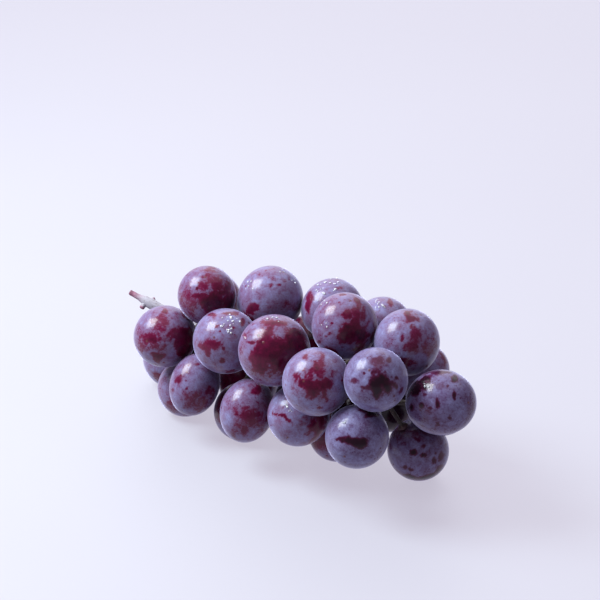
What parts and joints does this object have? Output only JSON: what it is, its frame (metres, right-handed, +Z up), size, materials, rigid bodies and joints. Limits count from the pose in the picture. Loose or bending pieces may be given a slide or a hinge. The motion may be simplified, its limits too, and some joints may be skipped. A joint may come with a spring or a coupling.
{
  "type": "bunch of grapes",
  "caption": "Loose bunch of large round dark grapes with a waxy bloom, lying on its side, with its cut stem.",
  "frame": {"origin": "on the surface that the bunch lies on, under the middle of its box", "axes": "+X along the bunch from its cut stem to its tip, +Y across it, +Z up"},
  "size_m": [0.1738, 0.0788, 0.0752],
  "materials": {
    "berry_skin": "dark maroon skin under a waxy grey-violet bloom, rubbed through in places",
    "stem_bark": "dull grey-green bark, red-brown where it is cut"
  },
  "bodies": {
    "root": {"stem": "stem_bark", "berry_01": "berry_skin", "berry_02": "berry_skin", "berry_03": "berry_skin", "berry_04": "berry_skin", "berry_05": "berry_skin", "berry_06": "berry_skin", "berry_07": "berry_skin", "berry_08": "berry_skin", "berry_09": "berry_skin", "berry_10": "berry_skin", "berry_11": "berry_skin", "berry_12": "berry_skin", "berry_13": "berry_skin", "berry_14": "berry_skin", "berry_15": "berry_skin", "berry_16": "berry_skin", "berry_17": "berry_skin", "berry_18": "berry_skin", "berry_19": "berry_skin", "berry_20": "berry_skin", "berry_21": "berry_skin", "berry_22": "berry_skin", "berry_23": "berry_skin", "berry_24": "berry_skin", "berry_25": "berry_skin", "berry_26": "berry_skin", "berry_27": "berry_skin", "berry_28": "berry_skin", "berry_29": "berry_skin", "berry_30": "berry_skin", "berry_31": "berry_skin", "berry_32": "berry_skin"}
  },
  "joints": []
}
